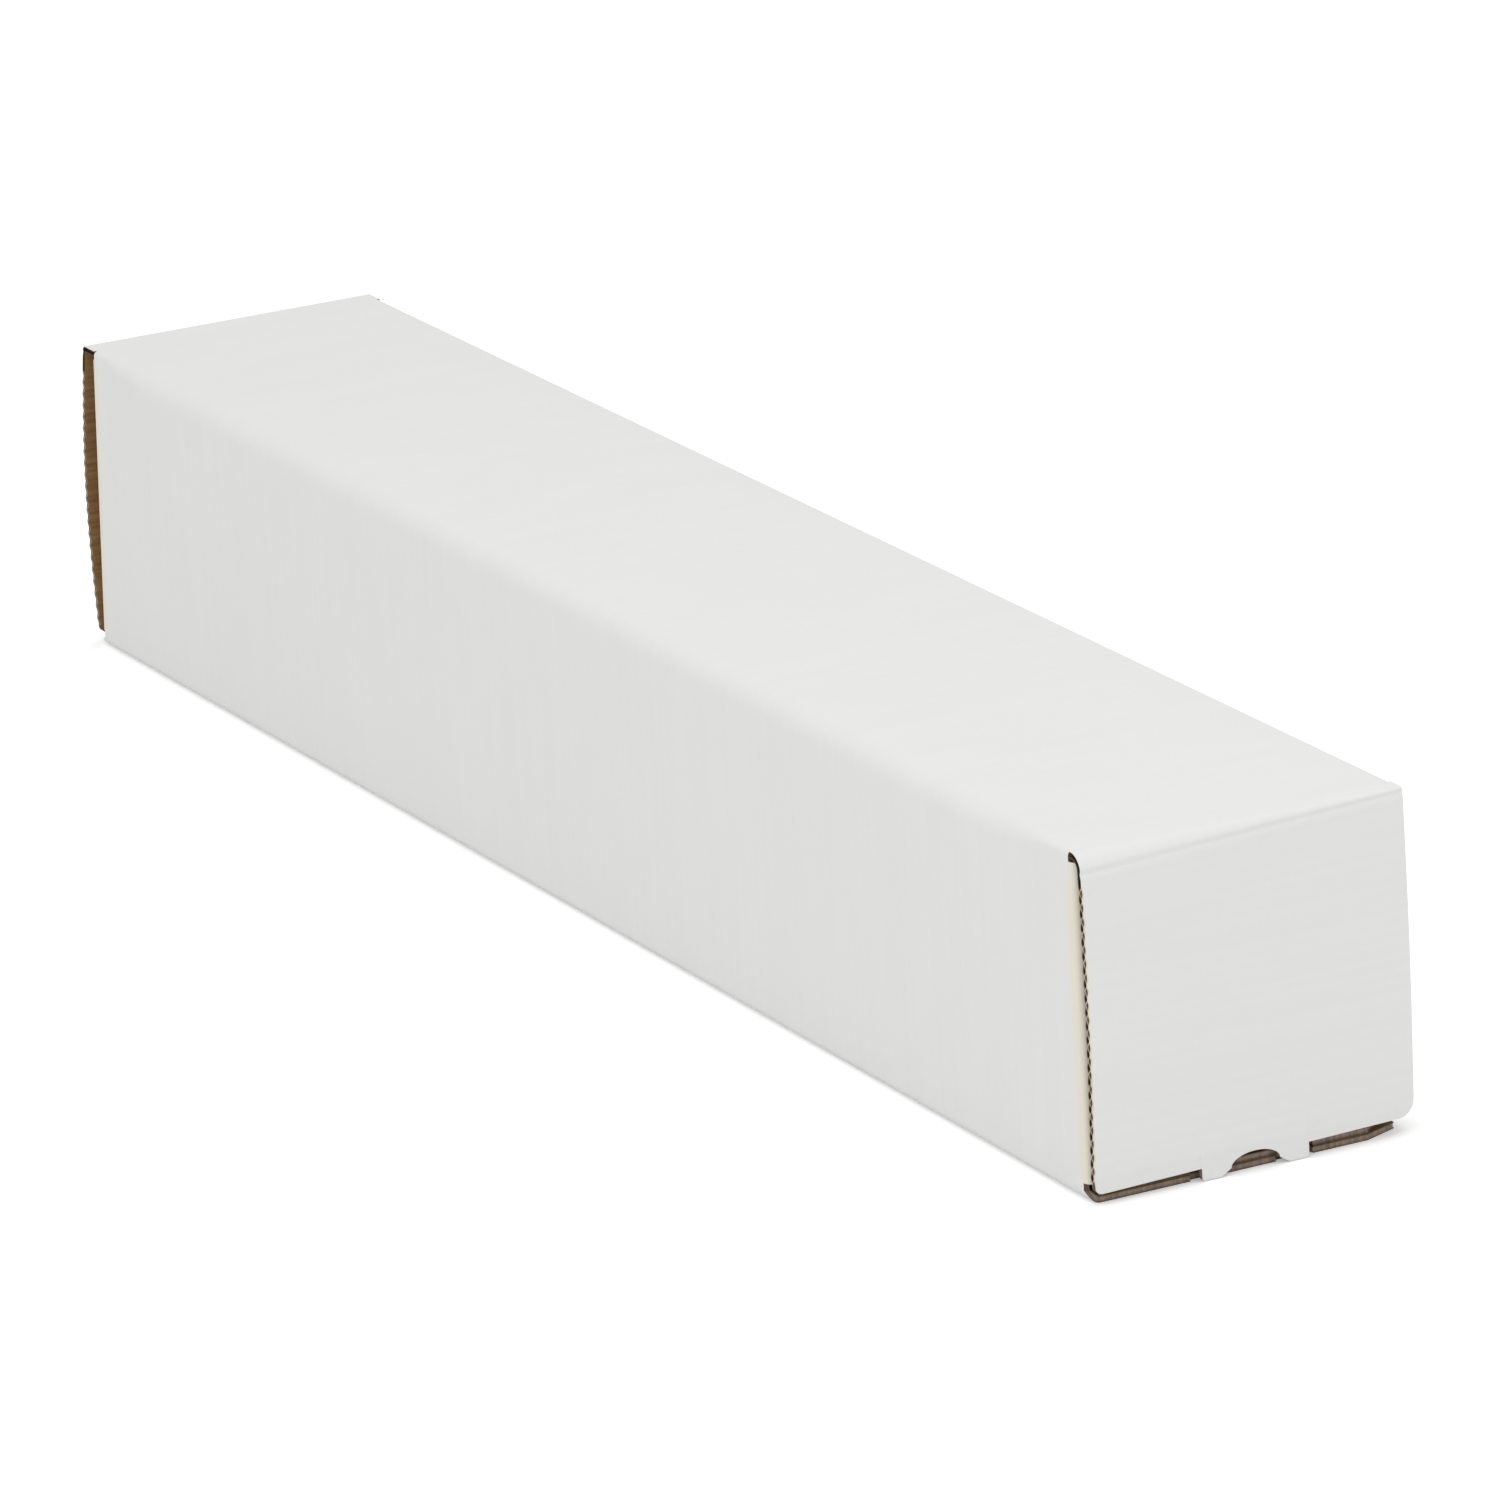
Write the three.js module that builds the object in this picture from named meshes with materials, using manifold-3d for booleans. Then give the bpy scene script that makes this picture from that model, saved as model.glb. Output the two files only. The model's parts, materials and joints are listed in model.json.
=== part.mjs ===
// Long shipping carton with a square section, folded from one die-cut corrugated sheet.
// Units are millimetres, +Z is up and X runs along the carton.
// The origin is on the underside, in the middle of the overall box.
//
// The sheet wraps the box in five panels: inner bottom, back side, top, front side and outer bottom.
// Each side panel ends in a dust flap that is folded in, and its crease leans back towards the top.
// Each end of the top panel carries a full-width end flap, which hangs down over the dust flaps.
// Two tabs at the end flap's lower edge drop into notches in the doubled bottom.
import * as THREE from 'three';
import { mergeVertices } from 'three/addons/utils/BufferGeometryUtils.js';
import Module from 'manifold-3d';

const wasm = await Module();
wasm.setup();

// Size of the closed carton
const overallLength = 1042;
const overallWidth = 165;
const insideHeight = 152;

// Corrugated board
const board = 3;
const liner = 0.4;
const medium = 0.36;
const flutePitch = 6.4;
const glueLine = 1.1;
const layerGap = 0.4;

// Long creases, outer radii
const topCreaseRadius = 8;
const bottomCreaseRadius = 5;
const freeEdgeSetback = 5;

// Side panels and dust flaps
const creaseBehindFlap = 1.8;
const nearCreaseLean = 3;
const farCreaseLean = 10;
const dustFlapLength = 64;
const dustCreaseRadius = 4;
const dustFlapTaper = 7;
const dustCornerRadius = 9;
const dustFlapClearance = 2;

// End flaps and their hinge creases: the flap stands out at its foot and bows between crease and foot
const nearBow = 1.5;
const farBow = 7;
const nearLean = 2;
const farLean = 4;
const flapSideClearance = 0.4;
const flapFootHeight = 6.6;
const flapSkew = 1.6;
const flapCornerRadius = 8;
const hingeClearance = 0.35;

// Lock tabs, the notches that they drop into and the thumb notch between them
const bottomEndClearance = 0.4;
const tabOuterOffset = 27.5;
const tabInnerOffset = 17.5;
const tabBevel = 1;
const tabFloorClearance = 0.2;
const tabSideClearance = 4;
const notchDepth = 5;
const thumbNotchHalfWidth = 12.5;
const thumbNotchSpring = 3.2;
const thumbNotchRise = 5.8;

// Sizes that follow from the ones above
const halfWidth = overallWidth / 2;
const bottomStack = 2 * board + layerGap;
const overallHeight = bottomStack + insideHeight + board;
const innerBottomUnderside = board + layerGap;
const hingeHeight = overallHeight - board / 2;
const flapHeight = hingeHeight - flapFootHeight;
const ends = [
  { name: 'near', side: 1, bow: nearBow, lean: nearLean, creaseLean: nearCreaseLean },
  { name: 'far', side: -1, bow: farBow, lean: farLean, creaseLean: farCreaseLean },
];
const arcSegments = 8;
const flapSteps = 25;

// How far an end flap stands out from its hinge line, at a distance down the flap.
function standOff(end, down) {
  const share = down / flapHeight;
  return end.lean * share + end.bow * Math.sin(Math.PI * Math.min(share, 1));
}

// The flap reaches the end of the overall length where it stands out most.
const flapRowStep = (hingeHeight - tabFloorClearance) / flapSteps;
const flapRows = Array.from({ length: flapSteps + 1 }, (_, i) => i * flapRowStep);
const mostStandOff = (end) => Math.max(...flapRows.map((down) => standOff(end, down)));
const hingeX = (end) => overallLength / 2 - mostStandOff(end) - board / 2;
const footX = (end) => hingeX(end) + end.lean - board / 2;
const bottomEndX = (end) => footX(end) - bottomEndClearance;

// Where a side panel's end crease is at height z: nearest the end flap at the bottom.
const creaseX = (end, z) => footX(end) - creaseBehindFlap - end.creaseLean * (z / overallHeight);

// Turns a closed geometry into a solid that can be joined and cut.
function toSolid(geometry) {
  const bare = geometry.clone();
  bare.deleteAttribute('normal');
  bare.deleteAttribute('uv');
  const merged = mergeVertices(bare, 1e-5);
  return new wasm.Manifold(new wasm.Mesh({
    numProp: 3,
    vertProperties: new Float32Array(merged.attributes.position.array),
    triVerts: new Uint32Array(merged.index.array),
  }));
}

// Turns a solid back into a geometry with flat faces.
function toGeometry(solid) {
  const mesh = solid.getMesh();
  const geometry = new THREE.BufferGeometry();
  geometry.setAttribute('position', new THREE.BufferAttribute(new Float32Array(mesh.vertProperties), 3));
  geometry.setIndex(new THREE.BufferAttribute(new Uint32Array(mesh.triVerts), 1));
  geometry.computeVertexNormals();
  return geometry;
}

function extrude(shape, depth) {
  return new THREE.ExtrudeGeometry(shape, { depth, bevelEnabled: false, curveSegments: arcSegments });
}

// A (Y, Z) outline carried along X.
function alongX(shape, from, to) {
  const turn = new THREE.Matrix4().makeBasis(
    new THREE.Vector3(0, 1, 0),
    new THREE.Vector3(0, 0, 1),
    new THREE.Vector3(1, 0, 0),
  );
  return toSolid(extrude(shape, to - from).applyMatrix4(turn).translate(from, 0, 0));
}

// An (X, Z) outline carried along Y.
function alongY(shape, from, to) {
  return toSolid(extrude(shape, to - from).rotateX(Math.PI / 2).translate(0, to, 0));
}

function polygon(points) {
  return new THREE.Shape(points.map(([x, y]) => new THREE.Vector2(x, y)));
}

// The girth of the carton: one strip of board that starts as the outer bottom panel's free edge at the
// back, goes round front side, top and back side, and ends as the inner bottom panel on top of it.
function wrapSection() {
  const r = bottomCreaseRadius;
  const t = topCreaseRadius;
  const backFold = innerBottomUnderside + r;
  const quarter = Math.PI / 2;
  const strip = new THREE.Shape();
  strip.moveTo(halfWidth - freeEdgeSetback, 0);
  strip.lineTo(-halfWidth + r, 0);
  strip.absarc(-halfWidth + r, r, r, 3 * quarter, 2 * quarter, true);
  strip.absarc(-halfWidth + t, overallHeight - t, t, 2 * quarter, quarter, true);
  strip.absarc(halfWidth - t, overallHeight - t, t, quarter, 0, true);
  strip.absarc(halfWidth - r, backFold, r, 0, -quarter, true);
  strip.lineTo(-halfWidth + freeEdgeSetback, innerBottomUnderside);
  strip.lineTo(-halfWidth + freeEdgeSetback, bottomStack);
  strip.absarc(halfWidth - r, backFold, r - board, -quarter, 0, false);
  strip.absarc(halfWidth - t, overallHeight - t, t - board, 0, quarter, false);
  strip.absarc(-halfWidth + t, overallHeight - t, t - board, quarter, 2 * quarter, false);
  strip.absarc(-halfWidth + r, r, r - board, 2 * quarter, 3 * quarter, false);
  strip.lineTo(halfWidth - freeEdgeSetback, board);
  strip.closePath();
  return strip;
}

// Each end is built for the near side, at +X, and mirrored across the carton's middle for the far one.
const atEnd = (end, solid) => solid.scale([end.side, 1, 1]);

// Everything above the doubled bottom and beyond the side panels' slanted end creases.
function endTrim(end) {
  const top = overallHeight + board;
  const edge = (z) => creaseX(end, z) - dustCreaseRadius;
  const outline = polygon([
    [edge(bottomStack), bottomStack],
    [overallLength, bottomStack],
    [overallLength, top],
    [edge(top), top],
  ]);
  return alongY(outline, -overallWidth, overallWidth);
}

// A dust flap seen from above, for the near end and the front side: a strip that leaves the side panel,
// turns through the crease and runs inwards. Its outer face is at x = 0.
function dustFlapPlan() {
  const r = dustCreaseRadius;
  const quarter = Math.PI / 2;
  const root = -2 * r;
  const tip = -halfWidth + dustFlapLength;
  const plan = new THREE.Shape();
  plan.moveTo(root, -halfWidth);
  plan.absarc(-r, -halfWidth + r, r, -quarter, 0, false);
  plan.lineTo(0, tip);
  plan.lineTo(-board, tip);
  plan.absarc(-r, -halfWidth + r, r - board, 0, -quarter, true);
  plan.lineTo(root, -halfWidth + board);
  plan.closePath();
  return plan;
}

// A dust flap seen from the end: full height at its crease, tapered to a free edge with round corners.
function dustFlapOutline() {
  const low = bottomStack + dustFlapClearance;
  const high = overallHeight - topCreaseRadius;
  const crease = -halfWidth;
  const tip = -halfWidth + dustFlapLength;
  const r = dustCornerRadius;
  const outline = new THREE.Shape();
  outline.moveTo(crease, low);
  outline.lineTo(crease + dustCreaseRadius, low);
  outline.lineTo(tip - r, low + dustFlapTaper);
  outline.quadraticCurveTo(tip, low + dustFlapTaper, tip, low + dustFlapTaper + r);
  outline.lineTo(tip, high - dustFlapTaper - r);
  outline.quadraticCurveTo(tip, high - dustFlapTaper, tip - r, high - dustFlapTaper);
  outline.lineTo(crease + dustCreaseRadius, high);
  outline.lineTo(crease, high);
  outline.closePath();
  return outline;
}

// The strip of board leans with its crease, so the plan is sheared in X as it rises.
function dustFlap(end, across) {
  const lean = new THREE.Matrix4().makeShear(0, 0, 0, 0, -end.creaseLean / overallHeight, 0);
  const leaning = extrude(dustFlapPlan(), overallHeight).applyMatrix4(lean);
  const slab = toSolid(leaning.translate(creaseX(end, 0), 0, 0));
  const flap = slab.intersect(alongX(dustFlapOutline(), 0, overallLength));
  return flap.scale([1, across, 1]);
}

// The top panel goes on past the side panels as a full-width strip that ends at the hinge crease.
function topReach(end) {
  const top = overallHeight;
  const under = top - board;
  const start = creaseX(end, top) - dustCreaseRadius;
  const stop = hingeX(end) - board / 2 - hingeClearance;
  const strip = (from, half) => alongY(polygon([
    [from, under],
    [stop, under],
    [stop, top],
    [from, top],
  ]), -half, half);
  const wide = strip(start, halfWidth - flapSideClearance);
  const tongue = strip(start - topCreaseRadius, halfWidth - topCreaseRadius);
  return wide.add(tongue);
}

// A cut-out through both bottom layers at their end, where a lock tab drops in.
function tabNotch(end, across) {
  const floor = bottomEndX(end) - notchDepth;
  const outline = polygon([
    [across * thumbNotchHalfWidth, -board],
    [across * (tabOuterOffset + tabSideClearance), -board],
    [across * (tabOuterOffset + tabSideClearance), bottomStack + board],
    [across * thumbNotchHalfWidth, bottomStack + board],
  ]);
  return alongX(outline, floor, overallLength);
}

function folded() {
  const [near, far] = ends;
  let sheet = alongX(wrapSection(), -bottomEndX(far), bottomEndX(near));
  for (const end of ends) {
    sheet = sheet.subtract(atEnd(end, endTrim(end)));
    sheet = sheet.add(atEnd(end, topReach(end)));
    for (const across of [-1, 1]) {
      sheet = sheet.add(atEnd(end, dustFlap(end, across)));
      sheet = sheet.subtract(atEnd(end, tabNotch(end, across)));
    }
  }
  return sheet;
}

// Middle line of the wavy paper between the two liners.
function waveAt(down) {
  const reach = board / 2 - liner - medium / 2;
  return reach * Math.cos(2 * Math.PI * down / flutePitch);
}

// The end flap's board in section, from the round hinge crease down to the tips of its tabs: two liners,
// the wavy medium glued to them at its crests, and an open channel on each side of every wave.
function flutedSection(end) {
  const length = hingeHeight - tabFloorClearance;
  const place = (down, out) => [hingeX(end) + out + standOff(end, down), hingeHeight - down];
  const hinge = Array.from({ length: 7 }, (_, i) => {
    const turn = Math.PI * (i + 1) / 8;
    return [board / 2 * -Math.sin(turn), board / 2 * Math.cos(turn)];
  });
  const outline = polygon([
    ...flapRows.map((down) => place(down, -board / 2)),
    ...flapRows.slice().reverse().map((down) => place(down, board / 2)),
    ...hinge.map(([down, out]) => [hingeX(end) + out, hingeHeight - down]),
  ]);
  const wavePoints = 6;
  const face = board / 2 - liner;
  const waves = Math.floor(length / flutePitch - 0.5);
  for (let wave = 0; wave < waves; wave += 1) {
    for (const wall of [1, -1]) {
      const crest = (wave + (wall > 0 ? 1 : 0.5)) * flutePitch;
      const from = crest + glueLine / 2;
      const to = crest + flutePitch - glueLine / 2;
      if (to > length - liner) continue;
      const under = Array.from({ length: wavePoints + 1 }, (_, i) => {
        const down = from + (to - from) * i / wavePoints;
        const out = waveAt(down) + wall * medium / 2;
        return place(down, wall > 0 ? Math.min(out, face - 0.05) : Math.max(out, 0.05 - face));
      });
      const channel = [...under, place(to, wall * face), place(from, wall * face)];
      outline.holes.push(new THREE.Path(channel.map(([x, z]) => new THREE.Vector2(x, z))));
    }
  }
  return outline;
}

// Height of the end flap's lower edge: it hangs a little lower towards the front.
const footAt = (y) => flapFootHeight + flapSkew * y / halfWidth;

// The end flap from the front: round lower corners, two lock tabs and a half-round thumb notch.
function flapOutline() {
  const side = halfWidth - flapSideClearance;
  const r = flapCornerRadius;
  const tip = tabFloorClearance;
  const top = overallHeight + board;
  const outline = new THREE.Shape();
  outline.moveTo(-side, top);
  outline.lineTo(-side, footAt(-side) + r);
  outline.quadraticCurveTo(-side, footAt(-side), -side + r, footAt(r - side));
  outline.lineTo(-tabOuterOffset, footAt(-tabOuterOffset));
  outline.lineTo(-tabOuterOffset, tip + tabBevel);
  outline.lineTo(-tabOuterOffset + tabBevel, tip);
  outline.lineTo(-tabInnerOffset, tip);
  outline.lineTo(-thumbNotchHalfWidth, thumbNotchSpring);
  outline.absellipse(0, thumbNotchSpring, thumbNotchHalfWidth, thumbNotchRise, Math.PI, 0, true);
  outline.lineTo(tabInnerOffset, tip);
  outline.lineTo(tabOuterOffset - tabBevel, tip);
  outline.lineTo(tabOuterOffset, tip + tabBevel);
  outline.lineTo(tabOuterOffset, footAt(tabOuterOffset));
  outline.lineTo(side - r, footAt(side - r));
  outline.quadraticCurveTo(side, footAt(side), side, footAt(side) + r);
  outline.lineTo(side, top);
  outline.closePath();
  return outline;
}

function endFlap(end) {
  const sheet = alongY(flutedSection(end), -overallWidth, overallWidth);
  return atEnd(end, sheet.intersect(alongX(flapOutline(), 0, overallLength)));
}

// White liner outside, brown kraft inside: the white face is what a whole piece is seen by.
function whiteBoard(tone) {
  return new THREE.MeshStandardMaterial({ color: tone, roughness: 0.85, metalness: 0 });
}

function node(name, solid, tone) {
  const mesh = new THREE.Mesh(toGeometry(solid), whiteBoard(tone));
  mesh.name = name;
  return mesh;
}

const carton = new THREE.Group();
carton.name = 'long_shipping_carton';
carton.add(node('carton_body', folded(), 0xdedede));
for (const end of ends) {
  carton.add(node(`${end.name}_end_flap`, endFlap(end), 0xe0e0e2));
}

export default carton;
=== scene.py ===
# %% [markdown]
# # A long corrugated shipping box
#
# The real thing is one sheet of white-faced corrugated board, die-cut and folded into a long square tube.
# Everything here follows from how such board is made: two flat liners with a wavy paper between them.
# The frame gives the panels' places and the two hinge creases, and this file gives the board its paper,
# its folds, its raw edges and its light.

# %% Load the frame and read its sizes
import json
from math import pi, radians

import bpy
import numpy as np
from mathutils import Matrix, Vector


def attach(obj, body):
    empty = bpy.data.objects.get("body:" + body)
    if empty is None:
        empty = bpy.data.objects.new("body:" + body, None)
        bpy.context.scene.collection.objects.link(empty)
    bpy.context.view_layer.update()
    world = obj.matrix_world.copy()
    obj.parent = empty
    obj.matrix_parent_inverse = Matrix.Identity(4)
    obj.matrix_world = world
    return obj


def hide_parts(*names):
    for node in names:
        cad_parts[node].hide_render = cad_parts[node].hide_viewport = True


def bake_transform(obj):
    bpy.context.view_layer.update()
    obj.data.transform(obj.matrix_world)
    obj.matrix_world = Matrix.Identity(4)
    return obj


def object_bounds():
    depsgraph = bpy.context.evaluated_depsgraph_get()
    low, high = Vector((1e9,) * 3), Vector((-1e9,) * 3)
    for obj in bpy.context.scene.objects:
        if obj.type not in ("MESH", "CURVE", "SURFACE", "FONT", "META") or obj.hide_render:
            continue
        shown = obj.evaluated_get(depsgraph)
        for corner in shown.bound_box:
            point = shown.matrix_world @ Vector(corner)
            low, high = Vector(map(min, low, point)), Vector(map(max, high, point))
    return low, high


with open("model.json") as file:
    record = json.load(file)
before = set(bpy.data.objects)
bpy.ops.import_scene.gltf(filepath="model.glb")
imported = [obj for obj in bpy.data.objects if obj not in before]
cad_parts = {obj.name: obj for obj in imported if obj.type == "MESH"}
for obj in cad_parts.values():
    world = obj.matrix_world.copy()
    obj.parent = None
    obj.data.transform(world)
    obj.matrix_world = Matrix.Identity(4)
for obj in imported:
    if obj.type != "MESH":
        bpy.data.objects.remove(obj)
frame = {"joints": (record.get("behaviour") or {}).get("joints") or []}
cad_box = [list(corner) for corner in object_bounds()]
MM = 0.001
low, high = (np.array(corner) / MM for corner in cad_box)
half_width = high[1]
height = high[2]
hinges = {joint["child"]: np.array(joint["pos_m"]) / MM for joint in frame["joints"]}
print("overall box in mm:", (high - low).round(1))
print("hinge creases at x =", [round(hinge[0], 1) for hinge in hinges.values()])

# %% [markdown]
# ## The board's own sizes
#
# This is single-wall board about 3 mm thick with a 6.4 mm wave, a size that paper mills call B flute.
# The waves run round the girth, so the long side shows faint upright lines and each end shows level ones.

# %% Name the sizes of the board and the folds, in millimetres
BOARD = 3.0
LINER = 0.4
WAVE_PAPER = 0.5
FLUTE_PITCH = 6.4
WASHBOARD = 0.03
LAYER_GAP = 0.4
FREE_EDGE_SETBACK = 5.0
TOP_FOLD_MIDDLE = 12.0
TOP_FOLD_END = 2.5
BOTTOM_FOLD = 5.0
DUST_FLAP_LENGTH = 64.0
DUST_FOLD = 4.0
CREASE_GAP = 1.8
END_CLEARANCE = 0.4
SIDE_CLEARANCE = 0.4
bottom_stack = 2 * BOARD + LAYER_GAP
hinge_height = height - BOARD / 2

ENDS = {
    "near": dict(side=1, bow=1.5, lean=2.0, crease_lean=3.0, fold_front=8.0, fold_back=1.6),
    "far": dict(side=-1, bow=7.0, lean=4.0, crease_lean=10.0, fold_front=3.0, fold_back=3.0),
}
for name, end in ENDS.items():
    end["hinge"] = abs(hinges[f"{name}_flap"][0])
    end["foot"] = end["hinge"] + end["lean"] - BOARD / 2
    end["bottom_end"] = end["foot"] - END_CLEARANCE
    print(name, "end: hinge", round(end["hinge"], 2), "bottom panel ends at", round(end["bottom_end"], 2))


def crease_x(end, z):
    """Distance from the middle to a side panel's end crease: a straight line that leans back as z rises."""
    return end["foot"] - CREASE_GAP - end["crease_lean"] * z / height


# %% [markdown]
# ## The camera
#
# The photo was taken with a long lens from a few metres away: the box's far end is about a sixth smaller
# than its near end. The place, tilt and lens below are a fit to the box's seven visible corners. The far
# end's front upper corner stays a few pixels lower than in the photo.

# %% Place the camera
CAMERA_PLACE = (4.2924, -2.2015, 1.6004)
CAMERA_AZIMUTH = 62.544
CAMERA_ELEVATION = 17.733
CAMERA_ROLL = -2.752
CAMERA_LENS = 252.27
CAMERA_SENSOR = 36
CAMERA_REACH = 100

camera = bpy.data.objects.new("camera", bpy.data.cameras.new("camera"))
bpy.context.scene.collection.objects.link(camera)
turn = (
    Matrix.Rotation(radians(CAMERA_AZIMUTH), 4, "Z")
    @ Matrix.Rotation(radians(90 - CAMERA_ELEVATION), 4, "X")
    @ Matrix.Rotation(radians(CAMERA_ROLL), 4, "Z")
)
camera.matrix_world = Matrix.Translation(CAMERA_PLACE) @ turn
camera.data.lens = CAMERA_LENS
camera.data.sensor_width = CAMERA_SENSOR
camera.data.clip_end = CAMERA_REACH
bpy.context.scene.camera = camera
bpy.context.scene.view_settings.view_transform = "Standard"
print("camera stands", round(Vector(CAMERA_PLACE).length, 2), "m from the middle of the box")

# %% [markdown]
# ## Paper finishes
#
# Four papers show. The outside is a bleached clay-washed liner: matt, very slightly cloudy where the brown
# pulp below shows through, and faintly ribbed where it is glued to the wave. The inside is plain brown
# kraft. The cut edges show the liners end-on, and between them the rougher wavy paper. Noise stretched
# along the flutes gives the streaks, and its scale comes from the flute pitch.

# %% Small helpers for colours and nodes
PAPER_IOR = 1.5


def linear(hex_colour):
    """sRGB hex to linear red, green, blue and alpha, by the standard two-part curve."""
    parts = [int(hex_colour[i:i + 2], 16) / 255 for i in (1, 3, 5)]
    curve = [c / 12.92 if c <= 0.04045 else ((c + 0.055) / 1.055) ** 2.4 for c in parts]
    return (*curve, 1.0)


def add_node(tree, kind, settings=None, inputs=None):
    """Adds a node, sets its options and its inputs; an input that is a socket is linked to it."""
    node = tree.nodes.new(kind)
    for key, value in (settings or {}).items():
        setattr(node, key, value)
    for key, value in (inputs or {}).items():
        if isinstance(value, bpy.types.NodeSocket):
            tree.links.new(value, node.inputs[key])
        else:
            node.inputs[key].default_value = value
    return node


def paper_tree(name, roughness, specular):
    """A new material with an empty paper shader: rough, dielectric, no metal."""
    material = bpy.data.materials.new(name)
    material.use_nodes = True
    tree = material.node_tree
    tree.nodes.clear()
    shader = add_node(tree, "ShaderNodeBsdfPrincipled", inputs={"Roughness": roughness, "Metallic": 0.0})
    shader.inputs["IOR"].default_value = PAPER_IOR
    shader.inputs["Specular IOR Level"].default_value = specular
    output = add_node(tree, "ShaderNodeOutputMaterial")
    tree.links.new(shader.outputs["BSDF"], output.inputs["Surface"])
    return material, tree, shader


def streaked_noise(tree, across, width_mm, length_mm, detail=3.0):
    """Noise whose grains are width_mm wide along the axis across and length_mm long along the others."""
    place = add_node(tree, "ShaderNodeTexCoord")
    size = [1 / (length_mm * MM)] * 3
    size["XYZ".index(across)] = 1 / (width_mm * MM)
    scaled = add_node(tree, "ShaderNodeMapping", inputs={"Vector": place.outputs["Object"], "Scale": size})
    return add_node(
        tree, "ShaderNodeTexNoise",
        inputs={"Vector": scaled.outputs["Vector"], "Scale": 1.0, "Detail": detail, "Roughness": 0.55},
    )


def mixed(tree, factor, first, second):
    """A colour between two others, by a factor that may be a socket."""
    node = add_node(tree, "ShaderNodeMix", {"data_type": "RGBA"}, {0: factor})
    for index, colour in ((6, first), (7, second)):
        if isinstance(colour, bpy.types.NodeSocket):
            tree.links.new(colour, node.inputs[index])
        else:
            node.inputs[index].default_value = colour
    return node.outputs[2]


def spread(tree, value, from_low, from_high, to_low, to_high):
    """Stretches a value from one range to another and clamps it there."""
    ends = {"From Min": from_low, "From Max": from_high, "To Min": to_low, "To Max": to_high}
    node = add_node(tree, "ShaderNodeMapRange", inputs={"Value": value, **ends})
    return node.outputs["Result"]


def roughen(tree, shader, fibre, strength, distance):
    """Lifts the fibres a little out of the paper; distance is in metres."""
    inputs = {"Strength": strength, "Distance": distance, "Height": fibre.outputs["Fac"]}
    bump = add_node(tree, "ShaderNodeBump", inputs=inputs)
    tree.links.new(bump.outputs["Normal"], shader.inputs["Normal"])


# %% Bleached liner, the white outside
def bleached_liner(name, across):
    """Clay-washed white top liner; across is the axis that crosses the flutes."""
    material, tree, shader = paper_tree(name, roughness=0.62, specular=0.28)
    cloud = streaked_noise(tree, across, 26, 60, detail=2.0)
    streak = streaked_noise(tree, across, FLUTE_PITCH / 2, 140)
    fibre = streaked_noise(tree, across, 0.7, 2.4, detail=4.0)
    cloud_share = spread(tree, cloud.outputs["Fac"], 0.35, 0.65, 0, 1)
    clouded = mixed(tree, cloud_share, linear("#E8E8E6"), linear("#E7E7E5"))
    streak_share = spread(tree, streak.outputs["Fac"], 0.42, 0.62, 0, 0.13)
    streaky = mixed(tree, streak_share, clouded, linear("#E1E1DF"))
    fleck_share = spread(tree, fibre.outputs["Fac"], 0.62, 0.78, 0, 0.16)
    flecked = mixed(tree, fleck_share, streaky, linear("#D3CEC3"))
    # The cream tint at the end creases is partly cracked clay coat and partly a painted highlight of warm
    # light bounced off the brown kraft.
    crack_and_highlight = add_node(tree, "ShaderNodeAttribute", {"attribute_name": "crease_crack_and_painted_highlight"})
    cracked_and_highlit = mixed(tree, crack_and_highlight.outputs["Fac"], flecked, linear("#EBE1C8"))
    tree.links.new(cracked_and_highlit, shader.inputs["Base Color"])
    roughen(tree, shader, fibre, strength=0.25, distance=0.00012)
    return material


# %% Kraft liner, cut edges and the wavy paper, all brown
def kraft_paper(name, across, light, dark, roughness=0.78):
    """Unbleached brown paper with long fibres and darker flecks."""
    material, tree, shader = paper_tree(name, roughness, specular=0.2)
    streak = streaked_noise(tree, across, FLUTE_PITCH / 3, 90)
    fibre = streaked_noise(tree, across, 0.5, 3.0, detail=5.0)
    streak_share = spread(tree, streak.outputs["Fac"], 0.35, 0.65, 0, 1)
    broad = mixed(tree, streak_share, linear(light), linear(dark))
    fleck_share = spread(tree, fibre.outputs["Fac"], 0.55, 0.75, 0, 0.5)
    flecked = mixed(tree, fleck_share, broad, linear("#6B5236"))
    tree.links.new(flecked, shader.inputs["Base Color"])
    roughen(tree, shader, fibre, strength=0.4, distance=0.00015)
    return material


WHITE = {axis: bleached_liner(f"bleached_liner_flutes_across_{axis}", axis) for axis in "XYZ"}
KRAFT = {
    axis: kraft_paper(f"kraft_liner_flutes_across_{axis}", axis, "#9B7850", "#836340")
    for axis in "XYZ"
}
CUT_WHITE = kraft_paper("cut_edge_of_bleached_liner", "Y", "#EFE8DA", "#E3D8C4")
CUT_KRAFT = kraft_paper("cut_edge_of_kraft_liner", "Y", "#75644F", "#5F4F3D")
# The hollow behind a deep cut is painted near-black brown: painted shade for the dark inside the open
# flutes.
PAINTED_SHADE_HOLLOW = kraft_paper("painted_shade_in_hollow_between_liners", "Y", "#4A3F34", "#382F27", roughness=0.9)
CUT_WAVE = kraft_paper("cut_edge_of_fluting_medium", "Y", "#D2C6B2", "#B9AA92")
FLUTING = kraft_paper("fluting_medium", "Y", "#A39385", "#87776A", roughness=0.85)
print("papers:", [material.name for material in bpy.data.materials])


def board_papers(axis):
    """The papers of a piece whose flutes cross an axis, in the order of the numbers in the next cell."""
    return [WHITE[axis], KRAFT[axis], CUT_WHITE, CUT_KRAFT, PAINTED_SHADE_HOLLOW, FLUTING, CUT_WAVE]



# %% [markdown]
# ## How a sheet of board becomes a mesh
#
# Each flap and panel is a function of two parameters, worked out twice: once for the white face and once
# for the brown one. A helper then closes the two faces into one solid. Round the rim it copies what a
# die does to real board: the two liners run to the cut, and the wave between them ends a little deeper.

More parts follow.
